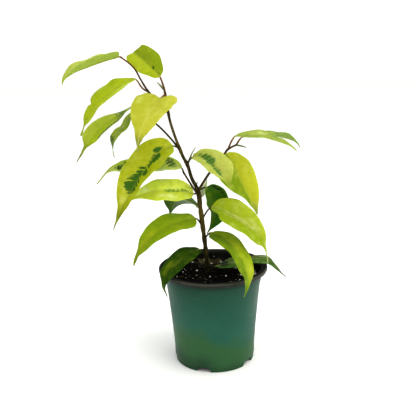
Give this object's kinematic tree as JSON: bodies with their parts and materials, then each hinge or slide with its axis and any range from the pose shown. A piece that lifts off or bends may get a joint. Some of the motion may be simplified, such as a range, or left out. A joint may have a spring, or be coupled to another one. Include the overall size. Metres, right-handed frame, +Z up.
{
  "type": "potted weeping fig",
  "caption": "Weeping fig with a slim branching stem and pointed drooping leaves, in soil in a round lipped nursery pot with a notched foot.",
  "frame": {"origin": "middle of the pot's base on the ground, on the pot's upright axis", "axes": "+Z up along the pot's axis, -Y towards the plant's front, +X to the viewer's right from the front"},
  "size_m": [0.2239, 0.1181, 0.316],
  "materials": {
    "pot_plastic": "satin injection-moulded green plastic",
    "potting_soil": "dark peat and bark mix",
    "bark": "thin brown bark",
    "leaf_01_blade": "satin leaf",
    "leaf_02_blade": "satin leaf",
    "leaf_03_blade": "satin leaf",
    "leaf_04_blade": "satin leaf",
    "leaf_05_blade": "satin leaf",
    "leaf_06_blade": "satin leaf",
    "leaf_07_blade": "satin leaf",
    "leaf_08_blade": "satin leaf",
    "leaf_09_blade": "satin leaf",
    "leaf_10_blade": "satin leaf",
    "leaf_11_blade": "satin leaf",
    "leaf_12_blade": "satin leaf",
    "leaf_13_blade": "satin leaf",
    "leaf_14_blade": "satin leaf",
    "leaf_15_blade": "satin leaf",
    "leaf_16_blade": "satin leaf",
    "leaf_17_blade": "satin leaf",
    "leaf_18_blade": "satin leaf",
    "leaf_19_blade": "satin leaf",
    "leaf_20_blade": "satin leaf",
    "leaf_21_blade": "satin leaf"
  },
  "bodies": {
    "root": {"pot": "pot_plastic", "soil": "potting_soil", "stem": "bark", "leaf_01": "leaf_01_blade", "leaf_02": "leaf_02_blade", "leaf_03": "leaf_03_blade", "leaf_04": "leaf_04_blade", "leaf_05": "leaf_05_blade", "leaf_06": "leaf_06_blade", "leaf_07": "leaf_07_blade", "leaf_08": "leaf_08_blade", "leaf_09": "leaf_09_blade", "leaf_10": "leaf_10_blade", "leaf_11": "leaf_11_blade", "leaf_12": "leaf_12_blade", "leaf_13": "leaf_13_blade", "leaf_14": "leaf_14_blade", "leaf_15": "leaf_15_blade", "leaf_16": "leaf_16_blade", "leaf_17": "leaf_17_blade", "leaf_18": "leaf_18_blade", "leaf_19": "leaf_19_blade", "leaf_20": "leaf_20_blade", "leaf_21": "leaf_21_blade"}
  },
  "joints": []
}
